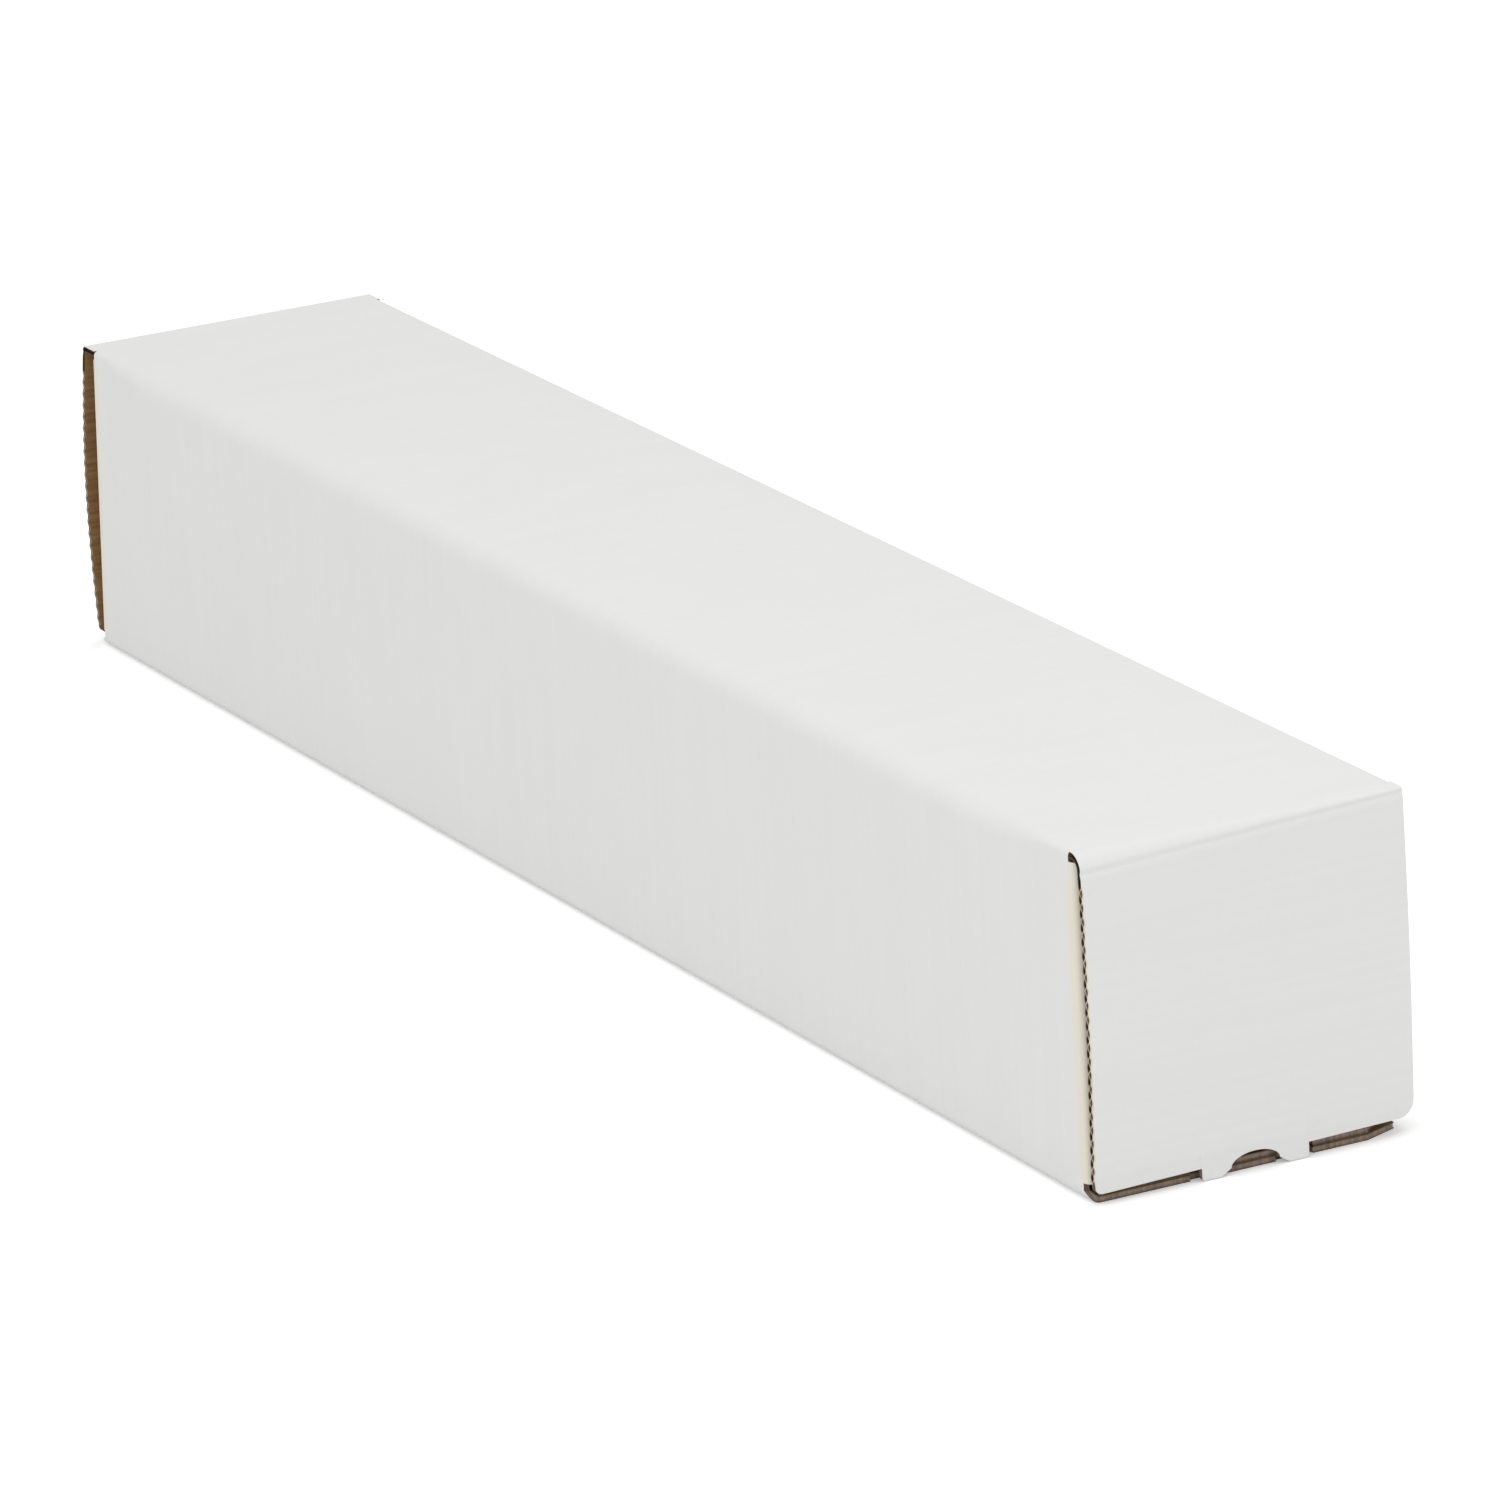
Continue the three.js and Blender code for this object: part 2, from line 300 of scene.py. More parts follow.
# %% Close two faces into a board with liner lips round its rim
WHITE_FACE, BROWN_FACE, WHITE_LIP, BROWN_LIP, DEEP_PAINTED_SHADE, WAVE_WALL, WAVE_EDGE = range(7)
DEEP_RECESS = 2.0
SHARP_ANGLE = 38


def rim_order(rows, columns):
    """Grid indices once round the rim, with the side (0 to 3) that each point belongs to."""
    grid = np.arange(rows * columns).reshape(rows, columns)
    ring = np.concatenate([grid[0, :-1], grid[:-1, -1], grid[-1, :0:-1], grid[:0:-1, 0]])
    side = np.repeat([0, 1, 2, 3], [columns - 1, rows - 1, columns - 1, rows - 1])
    return ring, side


def inward_at(middle, ring, reach):
    """Unit directions from the rim into the sheet, towards the point that is reach columns further in."""
    rows, columns = middle.shape[:2]
    r, c = np.divmod(ring, columns)
    inner_r = np.clip(r, 1, rows - 2)
    inner_c = np.clip(c, reach, columns - 1 - reach)
    step = middle[inner_r, inner_c] - middle[r, c]
    return step / np.linalg.norm(step, axis=1, keepdims=True)


def grid_faces(rows, columns, offset, flip):
    """Quads of a grid, as four vertex numbers each."""
    grid = np.arange(rows * columns).reshape(rows, columns) + offset
    quads = np.stack([grid[:-1, :-1], grid[:-1, 1:], grid[1:, 1:], grid[1:, :-1]], axis=-1).reshape(-1, 4)
    return quads[:, ::-1] if flip else quads


def board_arrays(white, brown, recess, reach=1):
    """Points, quads and material numbers of one closed sheet of board.

    white and brown are the two faces' points, rows by columns. recess says how deep the wave ends behind
    the cut on each of the four sides, and a shallow side shows the wave's wall instead of a hollow painted
    dark as shade.
    Rings run from the white rim down its liner, into the recess and out."""
    rows, columns = white.shape[:2]
    count = rows * columns
    ring, side = rim_order(rows, columns)
    depth = np.array(recess, float)[side][:, None]
    inward = inward_at((white + brown) / 2, ring, reach)
    top = white.reshape(-1, 3)[ring]
    under = brown.reshape(-1, 3)[ring]
    down = (under - top) / np.linalg.norm(under - top, axis=1, keepdims=True)
    lip_top = top + down * LINER
    lip_under = under - down * LINER
    rings = [lip_top, lip_top + inward * depth, lip_under + inward * depth, lip_under]
    points = np.concatenate([white.reshape(-1, 3), brown.reshape(-1, 3), *rings])
    size = len(ring)
    levels = [ring, *(2 * count + size * i + np.arange(size) for i in range(4)), ring + count]
    bands = [
        np.stack([a, b, np.roll(b, -1), np.roll(a, -1)], axis=-1)
        for a, b in zip(levels[:-1], levels[1:])
    ]
    faces = [grid_faces(rows, columns, 0, False), grid_faces(rows, columns, count, True), *bands]
    shallow = depth[:, 0] < DEEP_RECESS
    # Deep recesses get the painted shade, shallow ones the wave's own wall.
    wall_or_painted_shade = np.where(shallow, WAVE_WALL, DEEP_PAINTED_SHADE)
    white_lip = np.where(shallow, BROWN_LIP, WHITE_LIP)
    brown_lip = np.full(size, BROWN_LIP)
    flat = [np.full(len(faces[0]), WHITE_FACE), np.full(len(faces[1]), BROWN_FACE)]
    papers = [*flat, white_lip, *[wall_or_painted_shade] * 3, brown_lip]
    return points, np.concatenate(faces), np.concatenate(papers)


def enclosed(points, faces):
    """Signed volume inside quads: positive when the faces point outwards."""
    a, b, c, d = (points[faces[:, i]] for i in range(4))
    first = np.einsum("ij,ij->i", a, np.cross(b, c))
    second = np.einsum("ij,ij->i", a, np.cross(c, d))
    return (first + second).sum() / 6


def make_mesh(name, solids, materials, body):
    """One object from a list of (points in mm, quads, material numbers).

    It rides on a body, or on none if body is None, as for a piece that lies between two bodies."""
    points, faces, papers, offset = [], [], [], 0
    for p, f, m in solids:
        f = f if enclosed(p, f) > 0 else f[:, ::-1]
        points.append(p * MM)
        faces.append(f + offset)
        papers.append(m)
        offset += len(p)
    points, faces, papers = np.concatenate(points), np.concatenate(faces), np.concatenate(papers)
    mesh = bpy.data.meshes.new(name)
    mesh.vertices.add(len(points))
    mesh.vertices.foreach_set("co", points.ravel())
    mesh.loops.add(faces.size)
    mesh.loops.foreach_set("vertex_index", faces.ravel().astype(np.int32))
    mesh.polygons.add(len(faces))
    mesh.polygons.foreach_set("loop_start", np.arange(0, faces.size, 4, dtype=np.int32))
    mesh.polygons.foreach_set("material_index", papers.astype(np.int32))
    for material in materials:
        mesh.materials.append(material)
    mesh.update(calc_edges=True)
    mesh.validate()
    mesh.set_sharp_from_angle(angle=radians(SHARP_ANGLE))
    piece = bpy.data.objects.new(name, mesh)
    bpy.context.scene.collection.objects.link(piece)
    if isinstance(body, str):
        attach(piece, body)
    print(f"{name}: {len(points)} points, {len(faces) * 2} triangles")
    return piece


# %% [markdown]
# ## The folded tube
#
# The girth is one strip: the outer bottom panel, up the front, over the top, down the back and in again
# as a second bottom panel. On the real box the front top fold is soft in the middle of the length and gets
# tight at the ends, and the back one is crisp all along, so a top fold's radius is itself a function of
# the place along the box. The wave is printed through the liner as a washboard of a few hundredths of a
# millimetre.

# %% Lay out the rows round the girth and the columns along the length
NOTCH_INNER = 12.5
NOTCH_OUTER = 31.5
NOTCH_DEPTH = 5.0
SHALLOW_NOTCH = 2.0
BACK_TAPER_FROM = 71.0
BACK_RELIEF = 10.0
SLIVER = 0.12
TIGHT_FOR = 12
SOFTEN_OVER = 70


def bottom_rows():
    """Places across a bottom panel: a close pair of rows at each notch side, and few on the flat board."""
    sides = np.array([NOTCH_INNER, NOTCH_OUTER])
    pairs = np.concatenate([sides - SLIVER, sides + SLIVER])
    plain = np.array([0.0, 60.0])
    half = np.concatenate([pairs, plain])
    return np.unique(np.concatenate([-half, half]))


def length_columns(end_at, step, plain_to, end_steps):
    """Places along the box for rows that end at end_at: even in the middle, then spread to each end."""
    middle = np.arange(-plain_to, plain_to + step / 2, step)
    share = np.arange(1, end_steps + 1) / end_steps
    near = plain_to + (end_at["near"][:, None] - plain_to) * share
    far = -plain_to - (end_at["far"][:, None] - plain_to) * share[::-1]
    rows = len(end_at["near"])
    return np.concatenate([far, np.tile(middle, (rows, 1)), near], axis=1)


def fold_radius(panel, x):
    """Outer radius of a top fold at x: the back one is crisp, and the front one is soft in the middle
    and tight over the last hand's breadth."""
    if panel in ("high_back", "back"):
        return np.full_like(x, TOP_FOLD_END)
    reach = np.minimum(ENDS["near"]["hinge"] - x, x + ENDS["far"]["hinge"])
    share = np.clip((reach - TIGHT_FOR) / SOFTEN_OVER, 0, 1)
    return TOP_FOLD_END + (TOP_FOLD_MIDDLE - TOP_FOLD_END) * share * share * (3 - 2 * share)


def washboard(place, calm_end, calm_width=25.0):
    """Height of the printed-through wave: a cosine across the flutes, pressed flat towards the ends.

    It never stands above the face, so it is measured down from the crests."""
    fade = np.clip((calm_end - np.abs(place)) / calm_width, 0, 1)
    return WASHBOARD * fade * (np.cos(2 * pi * place / FLUTE_PITCH) - 1)


# %% Work out the tube's two faces
STEP = FLUTE_PITCH / 4
PLAIN_TO = FLUTE_PITCH * 75
END_STEPS = 20
SLIT_LIFT = 0.1
CALM_END = 20
LAST_BACK_ROW = 0.985
TUBE_RECESS = (7.0, 0.7, 7.0, 0.7)

across = bottom_rows()
outer_free = half_width - FREE_EDGE_SETBACK
outer_bottom = np.concatenate([[outer_free], across[::-1], [-half_width + BOTTOM_FOLD]])
inner_bottom = np.concatenate([[half_width - BOTTOM_FOLD], across[::-1], [-outer_free]])
quarter = np.linspace(0, pi / 2, 7)
slit_low = bottom_stack + SLIT_LIFT


def girth_rows():
    """For each row: its panel, and its place there.

    The place is y in mm on a bottom panel, an angle on a fold, and a share from 0 to 1 elsewhere, so that
    the fold radius can still vary along the length."""
    rows = []
    rows += [("outer", y) for y in outer_bottom]
    rows += [("low_front", a) for a in quarter[1:]]
    rows += [("front", s) for s in np.linspace(0, 1, 9)[:-1]]
    rows += [("high_front", a) for a in quarter]
    rows += [("top", s) for s in np.linspace(0, 1, 7)[1:-1]]
    rows += [("high_back", a) for a in quarter]
    rows += [("back", s) for s in np.append(np.linspace(0, 1, 9)[1:-1], LAST_BACK_ROW)]
    rows += [("low_back", a) for a in quarter]
    rows += [("inner", y) for y in inner_bottom[1:]]
    return rows


def row_place(panel, share, x, offset):
    """(y, z) along one row at offset outside the white face (negative is into the board)."""
    radius = fold_radius(panel, x)
    fold = BOTTOM_FOLD
    back_low = BOARD + LAYER_GAP + fold
    zero = np.zeros_like(x)
    if panel == "outer":
        return zero + share, zero - offset
    if panel == "inner":
        return zero + share, zero + BOARD + LAYER_GAP - offset
    if panel == "low_front":
        return (
            zero - half_width + fold - (fold + offset) * np.sin(share),
            zero + fold - (fold + offset) * np.cos(share),
        )
    if panel == "low_back":
        return (
            zero + half_width - fold + (fold + offset) * np.cos(share),
            zero + back_low - (fold + offset) * np.sin(share),
        )
    if panel == "front":
        start = np.maximum(fold, slit_low)
        return zero - half_width - offset, start + (height - radius - start) * share
    if panel == "back":
        start = back_low
        return zero + half_width + offset, height - radius + (start - height + radius) * share
    if panel == "top":
        start = -half_width + radius
        return start + (half_width - TOP_FOLD_END - start) * share, zero + height + offset
    angle = share if panel == "high_back" else pi / 2 - share
    sign = 1 if panel == "high_back" else -1
    y = sign * (half_width - radius + (radius + offset) * np.sin(angle))
    return y, height - radius + (radius + offset) * np.cos(angle)


def row_end(panel, share, end):
    """How far from the middle a row runs: bottom panels to their cut, side panels to their slanted fold."""
    if panel in ("outer", "inner"):
        notched = NOTCH_INNER < abs(share) < NOTCH_OUTER
        notch = (NOTCH_DEPTH if panel == "inner" else SHALLOW_NOTCH) if notched else 0
        return end["bottom_end"] - notch - max(0, share - BACK_TAPER_FROM)
    slit_end = crease_x(end, slit_low) - DUST_FOLD
    if panel == "low_front":
        return end["bottom_end"] + (slit_end - end["bottom_end"]) * (share / (pi / 2)) ** 3
    if panel == "low_back" or (panel == "back" and share >= LAST_BACK_ROW):
        return slit_end - BACK_RELIEF
    if panel == "front":
        z = slit_low + (height - TOP_FOLD_END - slit_low) * share
        return crease_x(end, z) - DUST_FOLD
    if panel == "back":
        z = height - TOP_FOLD_END - (height - TOP_FOLD_END - slit_low) * share
        return crease_x(end, z) - DUST_FOLD
    return crease_x(end, height) - DUST_FOLD


rows = girth_rows()
end_at = {name: np.array([row_end(p, s, end) for p, s in rows]) for name, end in ENDS.items()}
along = length_columns(end_at, STEP, PLAIN_TO, END_STEPS)


def tube_face(depth):
    """The strip's points at a depth below its white face, with the washboard pressed into both faces."""
    out = np.where(depth > 0, -depth, 0.0)
    lines = []
    for (panel, share), x in zip(rows, along):
        ripple = washboard(x, ENDS["far"]["hinge"] - CALM_END)
        y, z = row_place(panel, share, x, out + (ripple if depth == 0 else -ripple))
        lines.append(np.stack([x, y, z], axis=-1))
    return np.stack(lines)


tube = board_arrays(tube_face(0.0), tube_face(BOARD), recess=TUBE_RECESS)
print("tube grid:", along.shape)

# %% [markdown]
# ## Dust flaps
#
# Each side panel ends in a short flap that is folded in behind the end flap. Its fold line leans back
# towards the top, so the flap leans with it. Its flutes stand upright like the side panel's.

# %% Fold in the four dust flaps
DUST_TAPER = 7.0
DUST_CORNER = 9.0
DUST_FLOOR_GAP = 2.0
DUST_TOP_GAP = 5.0
DUST_TIP_LIMIT = 0.0004
DUST_RECESS = (3.0, 1.2, 3.0, 0.6)


def dust_flap(end, across_side):
    """A strip carried from the side panel through its fold and inwards.

    Columns follow the path: a quarter circle, then straight. Rows run from the lower to the upper edge,
    which taper in and round off towards the tip."""
    turn = np.linspace(0, pi / 2, 8)
    straight = np.arange(DUST_FOLD + STEP, DUST_FLAP_LENGTH - DUST_CORNER, STEP)
    corner = DUST_FLAP_LENGTH - DUST_CORNER + DUST_CORNER * np.sin(np.linspace(0, pi / 2, 9))
    run = np.concatenate([straight, corner])
    share = (run - DUST_FOLD) / (DUST_FLAP_LENGTH - DUST_FOLD)
    past = np.clip((run - (DUST_FLAP_LENGTH - DUST_CORNER)) / DUST_CORNER, 0, 1)
    rounding = DUST_CORNER * (1 - np.sqrt(np.clip(1 - past**2, DUST_TIP_LIMIT, 1)))
    inset = np.concatenate([np.zeros(len(turn)), DUST_TAPER * share + rounding])
    rise = np.linspace(0, 1, 14)[:, None]
    z_low = bottom_stack + DUST_FLOOR_GAP + inset
    z_high = height - DUST_TOP_GAP - inset
    z = z_low + (z_high - z_low) * rise

    def face(depth):
        radius = DUST_FOLD - depth
        x = np.concatenate([-DUST_FOLD + radius * np.sin(turn), np.full(len(run), -depth)])
        y = np.concatenate([DUST_FOLD - radius * np.cos(turn), run])
        ripple = np.concatenate([np.zeros(len(turn)), washboard(run, DUST_FLAP_LENGTH)])
        x = x + (ripple if depth == 0 else -ripple)
        places = crease_x(end, z) + x
        return np.stack([end["side"] * places, across_side * (half_width - y) + 0 * z, z], axis=-1)

    return board_arrays(face(0.0), face(BOARD), recess=DUST_RECESS)


# Where and how strongly the end creases get their cream: partly cracked clay coat, partly a painted
# highlight of light bounced off the kraft.
CRACK_AND_HIGHLIGHT_STRENGTH = 0.6
CRACK_AND_HIGHLIGHT_CURVE = 1.5
CRACK_AND_HIGHLIGHT_ON_SIDE = 7
CRACK_AND_HIGHLIGHT_ON_FLAP = 9
CRACK_AND_HIGHLIGHT_TOP_GAP, CRACK_AND_HIGHLIGHT_TOP_FADE = 3, 4
CRACK_AND_HIGHLIGHT_FOOT_GAP, CRACK_AND_HIGHLIGHT_FOOT_FADE = 5, 3


def tint_crease_cracks_and_highlight(piece):
    """Writes crease_crack_and_painted_highlight on every point: strongest along the four end creases, 0 a
    few millimetres away.

    The cream is partly the clay coat cracking there with the brown pulp showing through, and partly a
    painted highlight: warm light bounced off the brown kraft, painted into the colour."""
    mesh = piece.data
    place = np.empty(len(mesh.vertices) * 3)
    mesh.vertices.foreach_get("co", place)
    x, y, z = place.reshape(-1, 3).T / MM
    crease = np.where(x > 0, crease_x(ENDS["near"], z), crease_x(ENDS["far"], z))
    on_side = np.clip(1 - np.maximum(crease - DUST_FOLD - np.abs(x), 0) / CRACK_AND_HIGHLIGHT_ON_SIDE, 0, 1)
    on_flap = np.clip(1 - np.maximum(half_width - np.abs(y) - DUST_FOLD, 0) / CRACK_AND_HIGHLIGHT_ON_FLAP, 0, 1)
    below_top = np.clip((height - CRACK_AND_HIGHLIGHT_TOP_GAP - z) / CRACK_AND_HIGHLIGHT_TOP_FADE, 0, 1)
    above_foot = np.clip((z - CRACK_AND_HIGHLIGHT_FOOT_GAP) / CRACK_AND_HIGHLIGHT_FOOT_FADE, 0, 1)
    inside = below_top * above_foot
    crack_and_highlight = CRACK_AND_HIGHLIGHT_STRENGTH * (on_side * on_flap * inside) ** CRACK_AND_HIGHLIGHT_CURVE
    mesh.attributes.new("crease_crack_and_painted_highlight", "FLOAT", "POINT").data.foreach_set("value", crack_and_highlight)
    print(f"{piece.name}: crease wear reaches {(crack_and_highlight > 0).sum()} points")


dust_flaps = [dust_flap(end, s) for end in ENDS.values() for s in (-1, 1)]
folded_sheet = make_mesh("folded_sheet", [tube], board_papers("X"), "carton")
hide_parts("carton_body")
folded_dust_flaps = make_mesh("folded_dust_flaps", dust_flaps, board_papers("Y"), "carton")

for piece in (folded_sheet, folded_dust_flaps):
    tint_crease_cracks_and_highlight(piece)

# %% [markdown]
# ## End flaps
#
# An end flap is a full-width panel with round lower corners, two lock tabs and a thumb notch. Its waves
# run level, so both upright edges show the flutes end-on: that scalloped edge is what the eye reads as
# corrugated board. The far flap bows outwards several times as much as the near one.

# %% The end flap's outline and section
FLAP_START = 14.0
FOOT_HEIGHT = 6.6
FOOT_SKEW = 1.6
CORNER_BACK = 8.0
CORNER_FRONT = 4.5
TAB_OUTER = 27.5
TAB_INNER = 17.5
TAB_BEVEL = 1.0
TAB_TIP = 0.2
THUMB_HALF = 12.5
THUMB_SPRING = 3.2
THUMB_RISE = 5.8
FOOT_ZONE = 22.0
SCALLOP = 0.5
EDGE_STRIP = 0.7
CRUSH_WIDTH = 2
TURN_WIDTH = 0.02
INWARD_REACH = 11
FLAP_RECESS = (0.05, 7.0, 1.0, 7.0)
flap_half = half_width - SIDE_CLEARANCE
flap_height = hinge_height - FOOT_HEIGHT


def stand_off(end, z):
    """How far the flap stands out from its hinge line at height z: a lean plus half a sine of bow."""
    share = (hinge_height - z) / flap_height
    return end["lean"] * share + end["bow"] * np.sin(pi * np.clip(share, 0, 1))


def foot_at(y):
    """Height of the flap's lower edge: a straight foot, round corners, two tabs and the thumb notch."""
    foot = FOOT_HEIGHT + FOOT_SKEW * y / half_width
    corner = np.where(y > 0, CORNER_BACK, CORNER_FRONT)
    past = np.clip(np.abs(y) - (flap_half - corner), 0, corner)
    rounded = foot + corner - np.sqrt(corner**2 - past**2)
    side = np.abs(y)
    bevel = TAB_TIP + np.clip(side - (TAB_OUTER - TAB_BEVEL), 0, None)
    slope = (THUMB_SPRING - TAB_TIP) / (TAB_INNER - THUMB_HALF)
    inner = TAB_TIP + np.clip(TAB_INNER - side, 0, None) * slope
    arch = THUMB_SPRING + THUMB_RISE * np.sqrt(np.clip(1 - (side / THUMB_HALF) ** 2, 0, 1))
    tab = np.where(side < THUMB_HALF, arch, np.maximum(bevel, inner))
    return np.where(side < TAB_OUTER, tab, rounded)


def flap_columns():
    """Places across the flap: close together where the lower edge turns, wide apart between."""
    turn = np.sin(np.linspace(0, pi / 2, 9))
    front, back = (
        np.unique(np.append(flap_half - corner + corner * turn, flap_half - EDGE_STRIP))
        for corner in (CORNER_FRONT, CORNER_BACK)
    )
    tab = np.array([TAB_INNER, TAB_OUTER - TAB_BEVEL, TAB_OUTER - TURN_WIDTH, TAB_OUTER + TURN_WIDTH])
    arch = THUMB_HALF * np.sin(np.linspace(0, pi / 2, 12))
    plain = np.array([33.0, 45.0, 58.0, 68.0])
    half = np.unique(np.concatenate([arch, [THUMB_HALF + TURN_WIDTH], tab, plain]))
    return np.concatenate([-front[::-1], -half[:0:-1], half, back])


def end_flap(end):
    """The flap's two faces on a grid: columns across, rows from the crease down to the foot."""
    y = flap_columns()
    upper = np.arange(height - FLAP_START, FOOT_ZONE, -FLUTE_PITCH / 8)
    share = np.linspace(0, 1, 24)[:, None]
    lower = FOOT_ZONE + (foot_at(y) - FOOT_ZONE) * share
    z = np.concatenate([np.repeat(upper[:, None], len(y), axis=1), lower])

    near_edge = np.clip((-y - flap_half + CRUSH_WIDTH) / CRUSH_WIDTH, 0, 1)
    crushed = SCALLOP / 2 * (1 - np.cos(2 * pi * z / FLUTE_PITCH)) * near_edge
    y_cut = y - np.sign(y) * crushed

    def face(out):
        ripple = washboard(z, height - FLAP_START)
        x = end["hinge"] + stand_off(end, z) + out * (BOARD / 2 + ripple)
        return np.stack([end["side"] * x, y_cut, z], axis=-1)

    points, faces, papers = board_arrays(face(1), face(-1), recess=FLAP_RECESS, reach=INWARD_REACH)
    strips = (len(z) - 1) * (len(y) - 1)
    edge_strip = np.tile((y[:-1] + y[1:]) / 2 < EDGE_STRIP - flap_half, len(z) - 1)
    papers[:strips][edge_strip] = WHITE_LIP
    return points, faces, papers


# %% The wave between the liners, shown at the upright edges
RIBBON_FROM = 0.25
RIBBON_TO = 7.9
RIBBON_FOOT = 2.5
RIBBON_INTO_LINER = 0.14


def fluting_strip(end, edge):
    """A narrow ribbon of the wavy paper along one upright edge: a cosine between the liners."""
    corner = CORNER_BACK if edge > 0 else CORNER_FRONT
    z = np.arange(height - FLAP_START, FOOT_HEIGHT + RIBBON_FOOT, -FLUTE_PITCH / 16)
    past = np.clip(foot_at(edge * (flap_half - corner)) + corner - z, 0, corner)
    pull = corner - np.sqrt(corner**2 - past**2)
    reach = BOARD / 2 - LINER - WAVE_PAPER / 2
    wave = reach * np.cos(2 * pi * z / FLUTE_PITCH)
    slope = 2 * pi * reach / FLUTE_PITCH * np.sin(2 * pi * z / FLUTE_PITCH)
    thick = WAVE_PAPER / 2 * np.sqrt(1 + slope**2)

    limit = reach + RIBBON_INTO_LINER

    def face(side):
        x = end["hinge"] + stand_off(end, z) + np.clip(wave + side * thick, -limit, limit)
        y_cut = edge * (flap_half - RIBBON_FROM - pull)
        y_deep = edge * (flap_half - RIBBON_TO - pull)
        return np.stack([np.stack([end["side"] * x, y, z], axis=-1) for y in (y_cut, y_deep)], axis=1)

    return plain_sheet(face(1), face(-1))


def plain_sheet(top, under):
    """Closes two faces directly, with no lips: points, quads, and material numbers of walls and edge."""
    rows, columns = top.shape[:2]
    count = rows * columns
    ring, _ = rim_order(rows, columns)
    band = np.stack([ring, ring + count, np.roll(ring, -1) + count, np.roll(ring, -1)], axis=-1)
    walls = [grid_faces(rows, columns, 0, False), grid_faces(rows, columns, count, True)]
    faces = np.concatenate([*walls, band])
    points = np.concatenate([top.reshape(-1, 3), under.reshape(-1, 3)])
    papers = np.repeat([WAVE_WALL, WAVE_EDGE], [len(faces) - len(band), len(band)])
    return points, faces, papers


for name, end in ENDS.items():
    parts = [end_flap(end)] + [fluting_strip(end, edge) for edge in (-1, 1)]
    flap = make_mesh(f"{name}_end_flap_board", parts, board_papers("Z"), f"{name}_flap")
    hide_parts(f"{name}_end_flap")

# %% [markdown]
# ## The hinge folds
#
# The crease between the top panel and an end flap is the only part of the sheet that bends in use. It is
# a short strip of the same board that follows the top panel at one end and the flap at the other. The
# near fold is rounder towards the front, as in the photo. With the near flap folded straight up, a thin
# white band still shows across its hinge.

# %% Bend a strip of board over each hinge crease
CREASE_DENT = 0.6
DENT_BELOW = 0.8
DENT_WIDTH = 1.3
LEAST_RADIUS = 0.5
DROP_SPREAD = 1.4
FOLD_RECESS = (2.0, 0.05, 2.0, 0.05)


def hinge_fold(name, end):
    """Two paths over the crease, outside and inside, each straight, a quarter turn, then straight.

    The outer radius runs evenly from the front value to the back one."""
    y = np.linspace(-flap_half, flap_half, 31)[:, None]
    share = (y + flap_half) / (2 * flap_half)
    radius = end["fold_front"] + (end["fold_back"] - end["fold_front"]) * share
    inner_radius = np.maximum(radius - BOARD, LEAST_RADIUS)
    start = crease_x(end, height) - DUST_FOLD
    stop = height - FLAP_START
    turn = np.linspace(0, pi / 2, 12)[None, :]
    flat = np.linspace(0, 1, 7)[None, :-1]
    drop = np.linspace(0, 1, 16)[None, 1:] ** DROP_SPREAD

    def face(depth):
        r = radius if depth == 0 else inner_radius
        edge = end["hinge"] + BOARD / 2 - depth
        top = height - depth
        x = np.concatenate(
            [start + (edge - r - start) * flat, edge - r + r * np.sin(turn), edge + 0 * (r * drop)], axis=1
        )
        z = np.concatenate(
            [top + 0 * (r * flat), top - r + r * np.cos(turn), top - r + (stop - top + r) * drop], axis=1
        )
        x = x + np.where(z < hinge_height, stand_off(end, z), 0)
        if depth == 0:
            x = x - CREASE_DENT * np.exp(-(((z - top + r + DENT_BELOW) / DENT_WIDTH) ** 2))
        return np.stack([end["side"] * x, y + 0 * x, z], axis=-1)

    solid = board_arrays(face(0.0), face(BOARD), recess=FOLD_RECESS)
    fold = make_mesh(f"{name}_hinge_fold", [solid], board_papers("Z"), None)
    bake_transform(fold)


for name, end in ENDS.items():
    hinge_fold(name, end)

# %% [markdown]
# ## Floor and light
#
# A studio sweep: a white floor that the camera sees as plain white, with a soft trace of shadow where the
# box meets it. The box is lit by an even white surround, a large soft lamp above and a weaker one at the
# camera's side, so that the top is the lightest face and the two upright faces are close to each other.

# %% Make the floor
FLOOR_HALF = 14.0
FLOOR_DROP = 0.0002
FLOOR_LIFT = 0.3


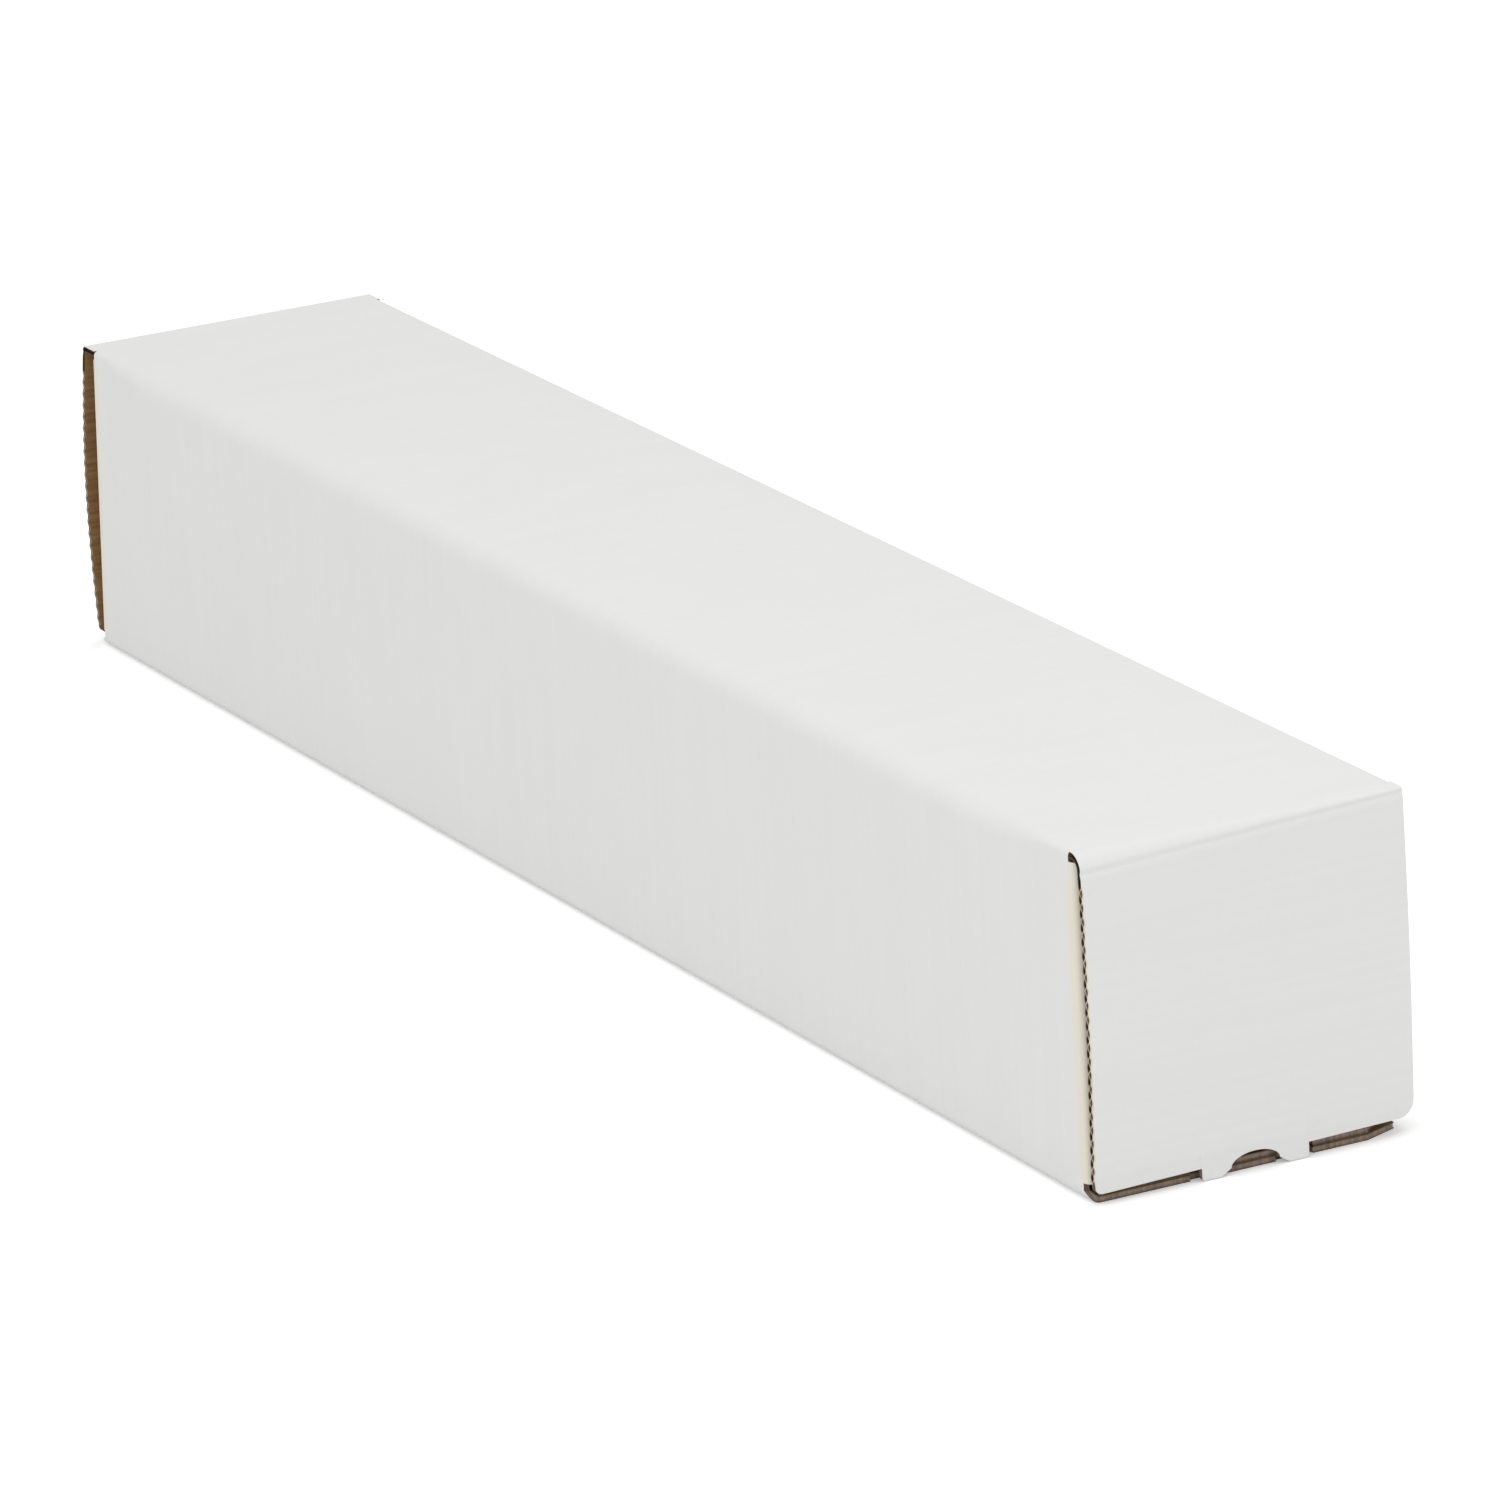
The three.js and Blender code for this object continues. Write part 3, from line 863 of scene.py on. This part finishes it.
def studio_floor():
    """A flat white square; to the camera its own white is lifted, so that only the shadow shows."""
    mesh = bpy.data.meshes.new("studio_floor")
    corners = [(-1, -1), (1, -1), (1, 1), (-1, 1)]
    places = [(x * FLOOR_HALF, y * FLOOR_HALF, -FLOOR_DROP) for x, y in corners]
    mesh.from_pydata(places, [], [(0, 1, 2, 3)])
    floor = bpy.data.objects.new("studio_floor", mesh)
    bpy.context.scene.collection.objects.link(floor)
    material, tree, shader = paper_tree("studio_sweep", roughness=0.9, specular=0.0)
    shader.inputs["Base Color"].default_value = linear("#F2F2F2")
    rays = add_node(tree, "ShaderNodeLightPath")
    seen = add_node(tree, "ShaderNodeMath", {"operation": "MAXIMUM"}, {0: rays.outputs["Is Camera Ray"]})
    tree.links.new(rays.outputs["Is Glossy Ray"], seen.inputs[1])
    lift = add_node(tree, "ShaderNodeMath", {"operation": "MULTIPLY"}, {0: seen.outputs[0], 1: FLOOR_LIFT})
    tree.links.new(lift.outputs[0], shader.inputs["Emission Strength"])
    shader.inputs["Emission Color"].default_value = (1, 1, 1, 1)
    mesh.materials.append(material)


studio_floor()

# %% Light the studio
SURROUND_STRENGTH = 0.825
OVERHEAD = dict(place=(0.9, -0.1, 2.3), size=2.0, power=12)
CAMERA_SIDE = dict(place=(2.2, -3.4, 0.8), size=2.4, power=8.5)


def soft_lamp(name, place, size, power):
    """A large square lamp at a place in metres, aimed at the middle of the box."""
    data = bpy.data.lights.new(name, "AREA")
    data.shape = "SQUARE"
    data.size = size
    data.energy = power
    lamp = bpy.data.objects.new(name, data)
    bpy.context.scene.collection.objects.link(lamp)
    lamp.location = place
    aim = Vector((0, 0, height * MM / 2)) - Vector(place)
    lamp.rotation_euler = aim.to_track_quat("-Z", "Y").to_euler()


world = bpy.data.worlds.new("studio_surround")
bpy.context.scene.world = world
world.use_nodes = True
world.node_tree.nodes["Background"].inputs["Color"].default_value = (1, 1, 1, 1)
world.node_tree.nodes["Background"].inputs["Strength"].default_value = SURROUND_STRENGTH
soft_lamp("overhead_softbox", **OVERHEAD)
soft_lamp("camera_side_softbox", **CAMERA_SIDE)
print("lamps and surround are in place")
